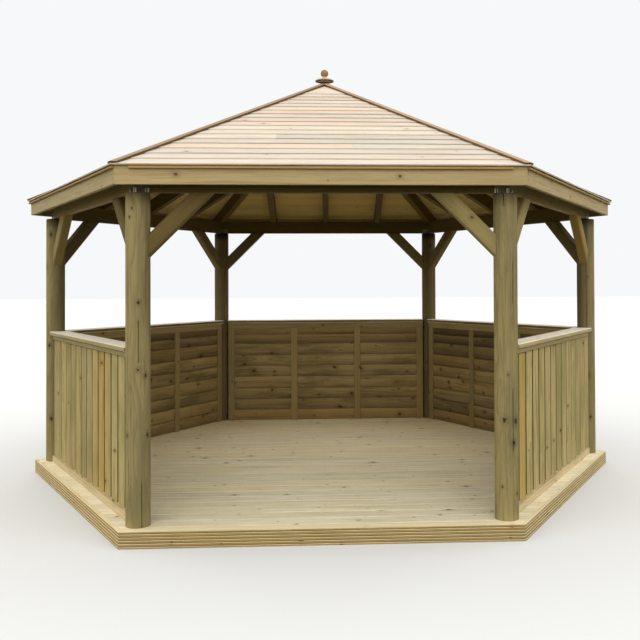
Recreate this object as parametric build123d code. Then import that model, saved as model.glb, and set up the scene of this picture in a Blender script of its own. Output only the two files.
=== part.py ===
from build123d import *
import os
from math import asin, cos, pi, radians, sin, sqrt, tan

# Hexagonal garden gazebo: round posts, lapped roof, five half panels and a boarded floor
# Millimetres, +Z up, origin on the ground at the centre; the open front faces -Y

# Plan: every ring of pieces is set out from the ring of post centres
SIDES = 6
POST_RING_RADIUS = 2156.0
POST_RADIUS = 71.0
JOINT = 0.25
SEAT_GAP = 0.3

# Floor
FLOOR_MARGIN = 138.0
SKIRT_HEIGHT = 95.0
SKIRT_THICKNESS = 28.0
GROOVE_COUNT = 5
GROOVE_PITCH = 18.0
GROOVE_WIDTH = 6.0
GROOVE_DEPTH = 3.0
DECK_THICKNESS = 28.0
BORDER_WIDTH = 65.0
JOIST_WIDTH = 44.0
JOIST_COUNT = 9

# Posts, ring beams and braces
POST_HEIGHT = 1922.0
POST_TOP_CHAMFER = 8.0
BEAM_THICKNESS = 44.0
BEAM_DEPTH = 120.0
BRACE_DROP = 370.0
BRACE_DEPTH = 95.0
BRACE_THICKNESS = 70.0
BRACE_CHAMFER = 8.0
BRACE_ANGLE = 45.0

# Post-top brackets
BRACKET_SHEET = 3.0
BRACKET_FLANGE_HEIGHT = 42.0
BRACKET_EDGE = 5.0

# Half panels
PANEL_SETBACK = 15.0
PANEL_CORE = 50.0
PANEL_HEIGHT = 1000.0
SOLE_HEIGHT = 50.0
SOLE_PROJECTION = 28.0
HEAD_HEIGHT = 36.0
HEAD_PROJECTION = 26.0
STILE_WIDTH = 64.0
STILE_PROJECTION = 19.0
BATTEN_COUNT = 2
INNER_RAIL_HEIGHT = 58.0
RAIL_SETBACK = 10.0
RAIL_WIDTH = 145.0
RAIL_THICKNESS = 28.0
RAIL_ROUNDING = 6.0

# Roof
ROOF_PITCH = 25.0
RAFTER_STAND = 95.0
RAFTER_WIDTH = 58.0
RAFTER_DEPTH = 110.0
JACK_SPACING = 540.0
KING_MARGIN = 12.0
KING_LENGTH = 190.0
FASCIA_OVERHANG = 168.0
FASCIA_THICKNESS = 28.0
FASCIA_DEPTH = 117.0
EAVES_STRIP_THICKNESS = 18.0
EAVES_STRIP_HEIGHT = 19.0
FRONT_STRIP_MARGIN = 85.0
BOARD_OVERHANG = 20.0
FIRST_EXPOSURE = 107.0
COURSE_EXPOSURE = 112.0
TOP_COURSE = 360.0
COURSE_NOSE = 9.0
COURSE_HEEL = 3.0
HIP_CAP_WIDTH = 34.0
HIP_CAP_THICKNESS = 12.0

# Finial
FINIAL_PLATE_RADIUS = 76.0
FINIAL_PLATE_SEAT = 4.0
FINIAL_PLATE_EDGE = 18.0
FINIAL_PLATE_CHAMFER = 12.0
FINIAL_CONE_HEIGHT = 6.0
FINIAL_NECK_RADIUS = 17.0
FINIAL_NECK_HEIGHT = 12.0
FINIAL_BALL_RADIUS = 31.5
FINIAL_BALL_RINGS = 10

SIDE_NAMES = ["front", "front_right", "back_right", "back", "back_left", "front_left"]
POST_NAMES = ["front_right", "right", "back_right", "back_left", "left", "front_left"]

SIDE_TURN = 360.0 / SIDES
HALF_TURN = radians(SIDE_TURN / 2)
SLOPE = radians(ROOF_PITCH)

POST_APOTHEM = POST_RING_RADIUS * cos(HALF_TURN)
HALF_BAY = POST_RING_RADIUS * sin(HALF_TURN)
PANEL_HALF_LENGTH = HALF_BAY - POST_RADIUS - SEAT_GAP
FLOOR_APOTHEM = POST_APOTHEM + FLOOR_MARGIN
BEAM_OUTER = POST_APOTHEM + BEAM_THICKNESS / 2
BEAM_INNER = POST_APOTHEM - BEAM_THICKNESS / 2
FASCIA_APOTHEM = POST_APOTHEM + FASCIA_OVERHANG
ROOF_APOTHEM = FASCIA_APOTHEM + BOARD_OVERHANG

FLOOR_TOP = SKIRT_HEIGHT
BEAM_BOTTOM = FLOOR_TOP + POST_HEIGHT + BRACKET_SHEET
BEAM_TOP = BEAM_BOTTOM + BEAM_DEPTH
EAVES_LEVEL = BEAM_TOP + RAFTER_STAND - (ROOF_APOTHEM - BEAM_OUTER) * tan(SLOPE)
RAFTER_OUTER_END = FASCIA_APOTHEM - FASCIA_THICKNESS - JOINT
KING_APOTHEM = RAFTER_WIDTH / 2 / tan(HALF_TURN) + KING_MARGIN
LONG = 2 * ROOF_APOTHEM
TALL = 2 * EAVES_LEVEL


def hexagon(apothem, low, high):
    """A six-sided block with its corners on the X axis."""
    face = RegularPolygon(apothem / cos(HALF_TURN), SIDES)
    return Pos(0, 0, low) * extrude(face, amount=high - low)


def wedge(setback):
    """The sector of the plan that belongs to the front side, each wall moved in by the setback."""
    tip = setback / sin(HALF_TURN)
    reach = (LONG - tip) * tan(HALF_TURN)
    face = Polygon((0, -tip), (-reach, -LONG), (reach, -LONG), align=None)
    return Pos(0, 0, -TALL) * extrude(face, amount=2 * TALL)


def moulding(points, half_length=LONG):
    """A length along the front side; points are (distance from the centre, height)."""
    face = Plane.YZ * Polygon(*[(-out, up) for out, up in points], align=None)
    return extrude(face, amount=half_length, both=True)


def bar(inner, outer, low, high, half_length=LONG):
    """A square-edged board along the front side."""
    return moulding([(inner, low), (outer, low), (outer, high), (inner, high)], half_length)


def turned(piece, side):
    """The front side's piece carried round to another side."""
    return Rot(0, 0, SIDE_TURN * side) * piece


def around(piece, sides=range(SIDES)):
    """One copy of the front side's piece for each side."""
    return [turned(piece, side) for side in sides]


def roof_point(distance, lift):
    """A point on the front slope: distance up from the eaves, lift off the rafters."""
    out = ROOF_APOTHEM - distance * cos(SLOPE) + lift * sin(SLOPE)
    up = EAVES_LEVEL + distance * sin(SLOPE) + lift * cos(SLOPE)
    return out, up


def rafter_line(out):
    """Height of the rafters' top edge at a distance from the centre."""
    return EAVES_LEVEL + (ROOF_APOTHEM - out) * tan(SLOPE)


def under_roof():
    """The six-sided pyramid below the roof boards."""
    base = RegularPolygon(ROOF_APOTHEM / cos(HALF_TURN), SIDES)
    pyramid = extrude(base, amount=rafter_line(0) - EAVES_LEVEL, taper=90 - ROOF_PITCH)
    return hexagon(ROOF_APOTHEM, 0, EAVES_LEVEL) + Pos(0, 0, EAVES_LEVEL) * pyramid


def skirt_board():
    """Ribbed board on edge round the floor, mitred at the corners."""
    inner = FLOOR_APOTHEM - SKIRT_THICKNESS
    points = [(inner, 0), (FLOOR_APOTHEM, 0)]
    first = (SKIRT_HEIGHT - (GROOVE_COUNT - 1) * GROOVE_PITCH) / 2
    for groove in range(GROOVE_COUNT):
        middle = first + groove * GROOVE_PITCH
        points.append((FLOOR_APOTHEM, middle - GROOVE_WIDTH / 2))
        points.append((FLOOR_APOTHEM - GROOVE_DEPTH, middle - GROOVE_WIDTH / 4))
        points.append((FLOOR_APOTHEM - GROOVE_DEPTH, middle + GROOVE_WIDTH / 4))
        points.append((FLOOR_APOTHEM, middle + GROOVE_WIDTH / 2))
    points += [(FLOOR_APOTHEM, SKIRT_HEIGHT), (inner, SKIRT_HEIGHT)]
    return moulding(points) & wedge(JOINT)


def edge_board(joint=0.0):
    """Closing board along the front edge of the floor, its ends cut to the skirt."""
    outer = FLOOR_APOTHEM - SKIRT_THICKNESS - JOINT
    board = bar(outer - BORDER_WIDTH - joint, outer, FLOOR_TOP - DECK_THICKNESS, FLOOR_TOP)
    return board & hexagon(outer, 0, FLOOR_TOP)


def floor_boards():
    """The walking surface, out to the skirt on the four slanting sides."""
    outer = FLOOR_APOTHEM - SKIRT_THICKNESS - JOINT
    deck = hexagon(outer, FLOOR_TOP - DECK_THICKNESS, FLOOR_TOP)
    for side in (0, SIDES // 2):
        deck = deck - turned(edge_board(JOINT), side)
    return deck


def floor_frame():
    """Rim joists behind the skirt and joists between them."""
    outer = FLOOR_APOTHEM - SKIRT_THICKNESS - JOINT
    rim_inner = outer - JOIST_WIDTH
    top = FLOOR_TOP - DECK_THICKNESS
    pieces = around(bar(rim_inner, outer, 0, top) & wedge(JOINT))
    bay = hexagon(rim_inner - JOINT, 0, top)
    corner = rim_inner / cos(HALF_TURN)
    spacing = 2 * corner / (JOIST_COUNT + 1)
    for row in range(1, JOIST_COUNT + 1):
        joist = Pos(row * spacing - corner, 0, top / 2) * Box(JOIST_WIDTH, LONG, top)
        pieces.append(joist & bay)
    return pieces


def post():
    """Machine-rounded post on the floor, its top edge chamfered, at the front right corner."""
    shaft = Cylinder(POST_RADIUS, POST_HEIGHT, align=(Align.CENTER, Align.CENTER, Align.MIN))
    shaft = chamfer(shaft.edges().sort_by(Axis.Z)[-1], POST_TOP_CHAMFER)
    return Pos(HALF_BAY, -POST_APOTHEM, FLOOR_TOP) * shaft


def ring_beam():
    """Beam on edge from post top to post top, mitred over the posts."""
    return bar(BEAM_INNER, BEAM_OUTER, BEAM_BOTTOM, BEAM_TOP) & wedge(JOINT)


def brace_pair():
    """Two knee braces of the front side, scribed to the round posts and cut flat under the beam."""
    face = HALF_BAY - POST_RADIUS
    foot = BEAM_BOTTOM - BRACE_DROP
    rise = tan(radians(BRACE_ANGLE))
    cut = BRACE_DEPTH / cos(radians(BRACE_ANGLE))
    lower_end = face - (BEAM_BOTTOM - foot) / rise
    upper_end = face - (BEAM_BOTTOM - foot - cut) / rise
    outline = Polygon(
        (HALF_BAY, foot - POST_RADIUS * rise),
        (HALF_BAY, foot + cut - POST_RADIUS * rise),
        (upper_end, BEAM_BOTTOM),
        (lower_end, BEAM_BOTTOM),
        align=None,
    )
    brace = extrude(Plane.XZ * outline, amount=BRACE_THICKNESS / 2, both=True)
    tangents = [(edge, edge.tangent_at(0)) for edge in brace.edges()]
    sloping = [edge for edge, along in tangents if abs(along.X * along.Z) > 0.1]
    brace = chamfer(sloping, BRACE_CHAMFER)
    brace = Pos(0, -POST_APOTHEM, 0) * brace
    hollow = Pos(HALF_BAY, -POST_APOTHEM, 0) * Cylinder(POST_RADIUS + SEAT_GAP, 2 * TALL)
    brace = brace - hollow
    return [brace, brace.mirror(Plane.YZ)]


def bracket():
    """Bent steel shoe on the front right post top, turned up round both faces of the two beams."""
    low = BEAM_BOTTOM - BRACKET_SHEET
    high = BEAM_BOTTOM + BRACKET_FLANGE_HEIGHT
    outer = BEAM_OUTER + SEAT_GAP
    inner = BEAM_INNER - SEAT_GAP
    section = [
        (inner - BRACKET_SHEET, low),
        (outer + BRACKET_SHEET, low),
        (outer + BRACKET_SHEET, high),
        (outer, high),
        (outer, BEAM_BOTTOM),
        (inner, BEAM_BOTTOM),
        (inner, high),
        (inner - BRACKET_SHEET, high),
    ]
    reach = POST_RADIUS - BRACKET_EDGE
    near_post = Pos(HALF_BAY - reach + LONG / 2, 0, 0) * Box(LONG, 4 * LONG, 4 * TALL)
    wing = moulding(section) & wedge(0) & near_post
    return wing + turned(wing.mirror(Plane.YZ), 1)


def half_panel():
    """One framed half panel: core, outer sole and head, inner stiles, battens and rail."""
    half = PANEL_HALF_LENGTH
    outer = POST_APOTHEM - PANEL_SETBACK + PANEL_CORE / 2
    inner = outer - PANEL_CORE
    low = FLOOR_TOP
    high = FLOOR_TOP + PANEL_HEIGHT
    panel = bar(inner, outer, low, high, half)
    panel += bar(outer, outer + SOLE_PROJECTION, low, low + SOLE_HEIGHT, half)
    panel += bar(outer, outer + HEAD_PROJECTION, high - HEAD_HEIGHT, high, half)
    panel += bar(inner - STILE_PROJECTION, inner, high - INNER_RAIL_HEIGHT, high, half)
    pitch = 2 * (half - STILE_WIDTH / 2) / (BATTEN_COUNT + 1)
    upright = bar(inner - STILE_PROJECTION, inner, low, high, STILE_WIDTH / 2)
    for place in range(BATTEN_COUNT + 2):
        panel += Pos(-half + STILE_WIDTH / 2 + place * pitch, 0, 0) * upright
    return panel


def handrail():
    """Wide rounded board on top of a half panel, from post to post."""
    low = FLOOR_TOP + PANEL_HEIGHT
    inner = POST_APOTHEM - RAIL_SETBACK - RAIL_WIDTH / 2
    rail = bar(inner, inner + RAIL_WIDTH, low, low + RAIL_THICKNESS, PANEL_HALF_LENGTH)
    long_edges = rail.edges().filter_by(Axis.X)
    return fillet(long_edges, RAIL_ROUNDING)


def course_lines():
    """Distances up the slope at which each lapped course starts and the last one ends."""
    slope_length = ROOF_APOTHEM / cos(SLOPE)
    lines = [0.0, FIRST_EXPOSURE]
    while lines[-1] + COURSE_EXPOSURE <= slope_length - TOP_COURSE + JOINT:
        lines.append(lines[-1] + COURSE_EXPOSURE)
    return lines + [slope_length]


def roof_slope():
    """The front slope's lapped courses, each nose standing proud of the course below."""
    lines = course_lines()
    points = [roof_point(0, 0)]
    for start, end in zip(lines, lines[1:]):
        fall = (COURSE_NOSE - COURSE_HEEL) * min(1.0, (end - start) / COURSE_EXPOSURE)
        points.append(roof_point(start, COURSE_NOSE))
        points.append(roof_point(end, COURSE_NOSE - fall))
    points.append(roof_point(lines[-1], 0))
    return moulding(points) & wedge(JOINT)


def hip_cap_pair():
    """The two capping boards of the front slope, along its hips, bearing on the course noses."""
    slope_length = ROOF_APOTHEM / cos(SLOPE)
    top = COURSE_NOSE + HIP_CAP_THICKNESS
    points = [
        roof_point(0, COURSE_NOSE),
        roof_point(slope_length + COURSE_NOSE * tan(SLOPE), COURSE_NOSE),
        roof_point(slope_length + top * tan(SLOPE), top),
        roof_point(0, top),
    ]
    strips = (moulding(points) & wedge(JOINT)) - wedge(HIP_CAP_WIDTH)
    right_half = Pos(JOINT + LONG / 2, 0, 0) * Box(LONG, 4 * LONG, 4 * TALL)
    right = strips & right_half
    return [right, right.mirror(Plane.YZ)]


def seat_ring():
    """The space of the six ring beams, which the rafters are notched over."""
    return hexagon(BEAM_OUTER, 0, BEAM_TOP) - hexagon(BEAM_INNER, -JOINT, BEAM_TOP + JOINT)


def common_rafters():
    """Three rafters on the front slope, notched over the beam and cut against the hips."""
    drop = RAFTER_DEPTH / cos(SLOPE)
    outer = RAFTER_OUTER_END
    inner = KING_APOTHEM / cos(HALF_TURN) + JOINT
    section = [
        (outer, rafter_line(outer) - drop),
        (outer, rafter_line(outer)),
        (inner, rafter_line(inner)),
        (inner, rafter_line(inner) - drop),
    ]
    rafter = moulding(section, RAFTER_WIDTH / 2)
    bay = wedge(RAFTER_WIDTH / 2 + JOINT)
    ring = seat_ring()
    return [((Pos(place * JACK_SPACING, 0, 0) * rafter) & bay) - ring for place in (-1, 0, 1)]


def hip_rafter():
    """Rafter under one hip, its back bevelled to both slopes; drawn towards +X."""
    corner = RAFTER_OUTER_END / cos(HALF_TURN)
    hip_rise = tan(SLOPE) * cos(HALF_TURN)
    drop = RAFTER_DEPTH * sqrt(1 + hip_rise**2)
    top = rafter_line(0) + RAFTER_DEPTH
    outline = Polygon(
        (KING_APOTHEM + JOINT, top),
        (KING_APOTHEM + JOINT, rafter_line(0) - KING_APOTHEM * hip_rise - drop),
        (corner, rafter_line(0) - corner * hip_rise - drop),
        (corner, top),
        align=None,
    )
    return extrude(Plane.XZ * outline, amount=RAFTER_WIDTH / 2, both=True)


def hip_rafters():
    """Six hip rafters between the king block and the fascia corners."""
    limit = hexagon(RAFTER_OUTER_END, 0, 2 * TALL) & under_roof()
    rafter = (hip_rafter() & limit) - seat_ring()
    return around(rafter)


def king_block():
    """Six-sided block that the hip rafters meet at, under the finial."""
    face = RegularPolygon(KING_APOTHEM / cos(HALF_TURN), SIDES, rotation=SIDE_TURN / 2)
    block = Pos(0, 0, rafter_line(0) - KING_LENGTH) * extrude(face, amount=KING_LENGTH)
    return block & under_roof()


def fascia_board():
    """Board round the rafter ends, its top edge bevelled to the roof."""
    inner = FASCIA_APOTHEM - FASCIA_THICKNESS
    low = rafter_line(FASCIA_APOTHEM) - FASCIA_DEPTH
    section = [
        (inner, low),
        (FASCIA_APOTHEM, low),
        (FASCIA_APOTHEM, rafter_line(FASCIA_APOTHEM)),
        (inner, rafter_line(inner)),
    ]
    return moulding(section) & wedge(JOINT)


def eaves_strip(half_length=LONG):
    """Slim strip along the top of the fascia, under the roof boards."""
    outer = FASCIA_APOTHEM + EAVES_STRIP_THICKNESS
    low = rafter_line(FASCIA_APOTHEM) - EAVES_STRIP_HEIGHT
    section = [
        (FASCIA_APOTHEM, low),
        (outer, low),
        (outer, rafter_line(outer)),
        (FASCIA_APOTHEM, rafter_line(FASCIA_APOTHEM)),
    ]
    return moulding(section, half_length) & wedge(JOINT)


def eaves_strips():
    """Strips on all sides; the front one stops short of the corners."""
    corner = FASCIA_APOTHEM * tan(HALF_TURN)
    strips = around(eaves_strip(), range(1, SIDES))
    return [eaves_strip(corner - FRONT_STRIP_MARGIN)] + strips


def cap_peak():
    """Height where the tops of the capping boards would meet."""
    return rafter_line(0) + (COURSE_NOSE + HIP_CAP_THICKNESS) / cos(SLOPE)


def finial_base():
    """Turned plate and neck over the capping ends, hollowed underneath to sit on them."""
    peak = cap_peak()
    rim = FINIAL_PLATE_RADIUS
    shoulder = rim - FINIAL_PLATE_CHAMFER
    low = peak - FINIAL_PLATE_SEAT
    edge = low + FINIAL_PLATE_EDGE
    top = edge + FINIAL_PLATE_CHAMFER
    neck = top + FINIAL_CONE_HEIGHT
    section = Polygon(
        (0, low),
        (rim, low),
        (rim, edge),
        (shoulder, top),
        (FINIAL_NECK_RADIUS, neck),
        (FINIAL_NECK_RADIUS, neck + FINIAL_NECK_HEIGHT),
        (0, neck + FINIAL_NECK_HEIGHT),
        align=None,
    )
    turned_plate = revolve(Plane.XZ * section, Axis.Z)
    base = RegularPolygon(rim / cos(HALF_TURN), SIDES)
    hollow_height = rim * tan(SLOPE)
    hollow = extrude(base, amount=hollow_height, taper=90 - ROOF_PITCH)
    return turned_plate - Pos(0, 0, peak - hollow_height) * hollow


def finial_ball():
    """Ball turned in narrow bands on the lathe, flat where it sits on the neck."""
    plate_top = cap_peak() - FINIAL_PLATE_SEAT + FINIAL_PLATE_EDGE + FINIAL_PLATE_CHAMFER
    neck_top = plate_top + FINIAL_CONE_HEIGHT + FINIAL_NECK_HEIGHT
    foot_angle = asin(FINIAL_NECK_RADIUS / FINIAL_BALL_RADIUS)
    middle = neck_top + FINIAL_BALL_RADIUS * cos(foot_angle)
    points = [(0, neck_top)]
    for ring in range(FINIAL_BALL_RINGS):
        angle = foot_angle + (pi - foot_angle) * ring / FINIAL_BALL_RINGS
        points.append((FINIAL_BALL_RADIUS * sin(angle), middle - FINIAL_BALL_RADIUS * cos(angle)))
    points.append((0, middle + FINIAL_BALL_RADIUS))
    return revolve(Plane.XZ * Polygon(*points, align=None), Axis.Z)


def write(name, pieces):
    """Write one named sub-part."""
    solids = []
    for piece in pieces if isinstance(pieces, list) else [pieces]:
        solids += piece.solids()
    export_step(Compound(children=solids) if len(solids) > 1 else solids[0], f"parts/{name}.step")


os.makedirs("parts", exist_ok=True)

write("floor_skirt", around(skirt_board()))
write("floor_border", around(edge_board(), (0, SIDES // 2)))
write("floor_boards", floor_boards())
write("floor_frame", floor_frame())
for corner, name in enumerate(POST_NAMES):
    write(f"post_{name}", turned(post(), corner))
write("post_brackets", around(bracket()))
for side, name in enumerate(SIDE_NAMES):
    write(f"beam_{name}", turned(ring_beam(), side))
    write(f"braces_{name}", [turned(brace, side) for brace in brace_pair()])
    write(f"roof_{name}", turned(roof_slope(), side))
    if side > 0:
        write(f"panel_{name}", turned(half_panel(), side))
write("handrails", around(handrail(), range(1, SIDES)))
write("hip_rafters", hip_rafters())
write("common_rafters", [turned(rafter, side) for side in range(SIDES) for rafter in common_rafters()])
write("king_block", king_block())
write("fascia", around(fascia_board()))
write("eaves_strips", eaves_strips())
write("hip_caps", [turned(cap, side) for side in range(SIDES) for cap in hip_cap_pair()])
write("finial_base", finial_base())
write("finial_ball", finial_ball())
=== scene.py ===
from math import acos, atan2, cos, hypot, pi, radians, sin, tan, tau
from random import Random

import bmesh
import bpy
from bmesh import ops
from mathutils import Matrix, Vector


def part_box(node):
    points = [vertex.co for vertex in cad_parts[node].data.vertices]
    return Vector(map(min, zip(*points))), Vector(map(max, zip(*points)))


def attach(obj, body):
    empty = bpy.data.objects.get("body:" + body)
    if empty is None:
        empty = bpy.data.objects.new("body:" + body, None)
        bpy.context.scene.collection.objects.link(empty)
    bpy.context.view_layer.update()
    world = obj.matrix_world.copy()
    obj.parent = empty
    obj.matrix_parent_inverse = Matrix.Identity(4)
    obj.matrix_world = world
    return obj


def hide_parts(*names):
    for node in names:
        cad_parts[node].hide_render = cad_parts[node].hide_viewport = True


# Hexagonal garden gazebo. Metres, +Z up, origin on the ground at the centre, open front towards -Y.
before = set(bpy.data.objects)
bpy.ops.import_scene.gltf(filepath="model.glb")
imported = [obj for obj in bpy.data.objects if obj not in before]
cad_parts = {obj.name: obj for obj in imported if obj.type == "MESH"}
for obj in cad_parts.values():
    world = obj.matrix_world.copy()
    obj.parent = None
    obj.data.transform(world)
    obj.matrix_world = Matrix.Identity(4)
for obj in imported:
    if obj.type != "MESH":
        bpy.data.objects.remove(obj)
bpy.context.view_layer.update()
scene = bpy.context.scene
scene.view_settings.view_transform = "Standard"


# Viewpoint
# The photograph was taken at standing height in front of the open side, a little off the centre line.
# The lens shift puts the picture's centre where the photograph has it.
EYE = Vector((0.026, -6.6875, 1.4766))
YAW = -0.053
PITCH = 0.0127
ROLL = 0.0041
LENS = 46.06
SENSOR = 36.0
SHIFT = (-0.0809, -0.0703)

heading = Matrix.Rotation(YAW, 4, "Z")
tilt = Matrix.Rotation(pi / 2 + PITCH, 4, "X")
camera_data = bpy.data.cameras.new("viewpoint")
camera_data.lens = LENS
camera_data.sensor_width = SENSOR
camera_data.shift_x, camera_data.shift_y = SHIFT
camera = bpy.data.objects.new("viewpoint", camera_data)
camera.matrix_world = Matrix.Translation(EYE) @ heading @ tilt @ Matrix.Rotation(-ROLL, 4, "Z")
scene.collection.objects.link(camera)
scene.camera = camera


# Studio
# A pale floor under an even, overcast sky, brightest part of the way up and dim low down behind.
# The floor looks pale but throws little light back up, and that light is faintly olive.
FLOOR_REACH = 90.0
SKY_OVERHEAD = 1.12
SKY_SIDE = 2.1
SKY_LEVEL = 1.7
SKY_BEHIND = 0.24
LEVEL, BRIGHTEST, OVERHEAD = 0.02, 0.22, 0.90
BACKGROUND = (0.93, 0.94, 0.95, 1)
FLOOR_SEEN = (0.80, 0.80, 0.78, 1)
FLOOR_LIT = (0.080, 0.080, 0.026, 1)


def colour(paint):
    """A colour as a paint chart gives it, 0 to 255, as the renderer wants it."""
    parts = [value / 255 for value in paint]
    return tuple(p / 12.92 if p <= 0.04045 else ((p + 0.055) / 1.055) ** 2.4 for p in parts) + (1.0,)


class Recipe:
    """A node tree with short calls for the few kinds of node that the finishes need."""

    def __init__(self, owner, bare=False):
        owner.use_nodes = True
        self.tree = owner.node_tree
        if bare:
            self.tree.nodes.clear()

    def put(self, kind, inputs=(), **settings):
        made = self.tree.nodes.new("ShaderNode" + kind)
        for key, value in settings.items():
            setattr(made, key, value)
        return self.feed(made, inputs)

    def feed(self, node, inputs):
        for key, value in dict(inputs).items():
            if isinstance(value, bpy.types.NodeSocket):
                self.tree.links.new(value, node.inputs[key])
            else:
                node.inputs[key].default_value = value
        return node

    def maths(self, operation, *values, clamp=False):
        made = self.put("Math", enumerate(values), operation=operation, use_clamp=clamp)
        return made.outputs[0]

    def times(self, first, second, plus=None):
        if plus is None:
            return self.maths("MULTIPLY", first, second)
        return self.maths("MULTIPLY_ADD", first, second, plus)

    def vector(self, operation, *values):
        made = self.put("VectorMath", enumerate(values), operation=operation)
        return made.outputs["Value" if operation == "LENGTH" else "Vector"]

    def scaled(self, vector, scale):
        return self.vector("MULTIPLY", vector, scale)

    def noise(self, vector, scale, detail=2.0, roughness=0.5, output="Fac"):
        vector = self.scaled(vector, scale)
        inputs = {"Vector": vector, "Scale": 1.0, "Detail": detail, "Roughness": roughness}
        return self.put("TexNoise", inputs).outputs[output]

    def parts(self, vector):
        return self.put("SeparateXYZ", {0: vector}).outputs

    def ramp(self, value, low, high, start=0.0, end=1.0, smooth=True):
        inputs = {"Value": value, "From Min": low, "From Max": high, "To Min": start, "To Max": end}
        kind = "SMOOTHSTEP" if smooth else "LINEAR"
        return self.put("MapRange", inputs, interpolation_type=kind).outputs["Result"]

    def tint(self, amount, first, second):
        """Blends two colours, each another node's or one from the paint chart."""
        first, second = (colour(c) if isinstance(c, tuple) else c for c in (first, second))
        return self.put("Mix", {0: amount, 6: first, 7: second}, data_type="RGBA").outputs[2]

    def seen(self):
        """1 for what the viewer sees, straight or mirrored, 0 for the light that surfaces gather."""
        rays = self.put("LightPath").outputs
        looked_at = self.maths("ADD", rays["Is Camera Ray"], rays["Is Glossy Ray"], clamp=True)
        return self.maths("ADD", looked_at, rays["Is Transmission Ray"], clamp=True)


world = bpy.data.worlds.new("studio")
scene.world = world
sky = Recipe(world, bare=True)
x, y, height = sky.parts(sky.put("TexCoord").outputs["Generated"])
lower = sky.ramp(height, LEVEL, BRIGHTEST, SKY_LEVEL, SKY_SIDE)
upper = sky.ramp(height, BRIGHTEST, OVERHEAD, 0.0, SKY_OVERHEAD - SKY_SIDE)
facing = sky.ramp(y, -0.5, 0.5, 1.0, SKY_BEHIND)
clear = sky.ramp(height, 0.28, 0.50)
facing = sky.times(sky.maths("SUBTRACT", 1.0, facing), clear, facing)
strength = sky.times(sky.maths("ADD", lower, upper), facing)
light = sky.put("Background", {"Color": (1, 1, 1, 1), "Strength": strength})
backdrop = sky.put("Background", {"Color": BACKGROUND, "Strength": 1.0})
mixed = sky.put("MixShader", {0: sky.seen(), 1: light.outputs[0], 2: backdrop.outputs[0]})
sky.put("OutputWorld", {"Surface": mixed.outputs[0]})


def add_object(name, bm, materials):
    """An object made of a mesh and its finishes."""
    mesh = bpy.data.meshes.new(name)
    bm.to_mesh(mesh)
    bm.free()
    for material in materials:
        mesh.materials.append(material)
    added = bpy.data.objects.new(name, mesh)
    scene.collection.objects.link(added)
    return added


floor_paint = bpy.data.materials.new("studio_floor")
paint = Recipe(floor_paint, bare=True)
pale = paint.put("BsdfDiffuse", {"Color": FLOOR_SEEN})
dim = paint.put("BsdfDiffuse", {"Color": FLOOR_LIT})
both = paint.put("MixShader", {0: paint.seen(), 1: dim.outputs[0], 2: pale.outputs[0]})
paint.put("OutputMaterial", {"Surface": both.outputs[0]})
bm = bmesh.new()
ops.create_grid(bm, x_segments=2, y_segments=2, size=FLOOR_REACH)
add_object("studio_floor", bm, [floor_paint])


# Floor frame
# Treated joists on edge inside a rim of the same timber, resting on the ground under the boards.
# Little of it shows; each stick carries its own run of grain.
SIDES = 6
SIDE_TURN = tau / SIDES
HALF_TURN = SIDE_TURN / 2
SIDE_NAMES = ["front", "front_right", "back_right", "back", "back_left", "front_left"]
OUTWARD = Vector((0, -1, 0))
INWARD = Vector((0, 1, 0))
UPRIGHT = Vector((0, 0, 1))
SIDEWAYS = Vector((1, 0, 0))
WELD = 0.00002
BOARD_ARRIS = 0.0012


def new_finish(name):
    """A material to fill in, with its recipe and its shader."""
    material = bpy.data.materials.new(name)
    mix = Recipe(material)
    return material, mix, mix.tree.nodes["Principled BSDF"]


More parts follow.
